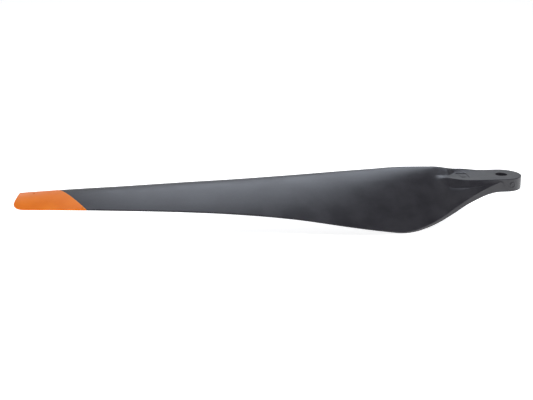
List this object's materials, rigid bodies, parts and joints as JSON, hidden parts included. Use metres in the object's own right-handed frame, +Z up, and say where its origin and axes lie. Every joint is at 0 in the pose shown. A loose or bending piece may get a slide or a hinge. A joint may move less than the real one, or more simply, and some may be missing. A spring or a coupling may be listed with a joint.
{
  "type": "folding propeller blade",
  "caption": "Folding propeller blade with a flat hinge eye, a raised root pad, a twisted tapering airfoil and a painted tip.",
  "frame": {"origin": "middle of the hinge bore, halfway between the eye's two flat faces", "axes": "+X out along the span to the tip, +Y from the leading edge towards the trailing edge, +Z up along the hinge axis, out of the face with the raised pad"},
  "size_m": [0.4634, 0.0749, 0.0443],
  "materials": {
    "moulding": "matt dark grey fibre-filled moulded plastic",
    "tip_paint": "semi-matt orange sprayed paint"
  },
  "bodies": {
    "root": {"blade": "moulding", "tip_coat": "tip_paint"}
  },
  "joints": []
}
